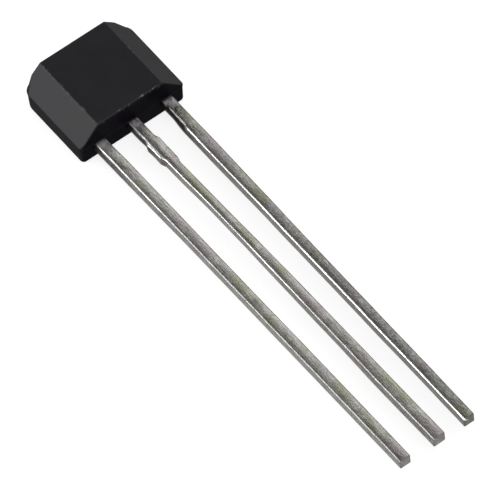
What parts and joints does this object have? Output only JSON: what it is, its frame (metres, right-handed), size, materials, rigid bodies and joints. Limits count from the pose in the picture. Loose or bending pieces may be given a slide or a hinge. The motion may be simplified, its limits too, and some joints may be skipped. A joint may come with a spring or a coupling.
{
  "type": "hall effect sensor",
  "caption": "Black moulded flat sensor package with a chamfered marking face and long straight tin-plated leads in one row.",
  "frame": {"origin": "centre of the package's flat back face", "axes": "+X across the package, +Y towards its top end with the leads along -Y, +Z out of the marking face"},
  "size_m": [0.004, 0.0188, 0.0015],
  "materials": {
    "moulding_compound": "fine mould texture, satin",
    "tin_plated_lead": "dull tin plate with drawn streaks",
    "silicon": "polished",
    "silver_adhesive": "matte",
    "gold_wire": "bright"
  },
  "bodies": {
    "root": {"moulded_body": "moulding_compound", "supply_lead": "tin_plated_lead", "ground_lead": "tin_plated_lead", "output_lead": "tin_plated_lead", "hall_chip": "silicon", "die_attach": "silver_adhesive", "supply_wire": "gold_wire", "ground_wire": "gold_wire", "output_wire": "gold_wire"}
  },
  "joints": []
}
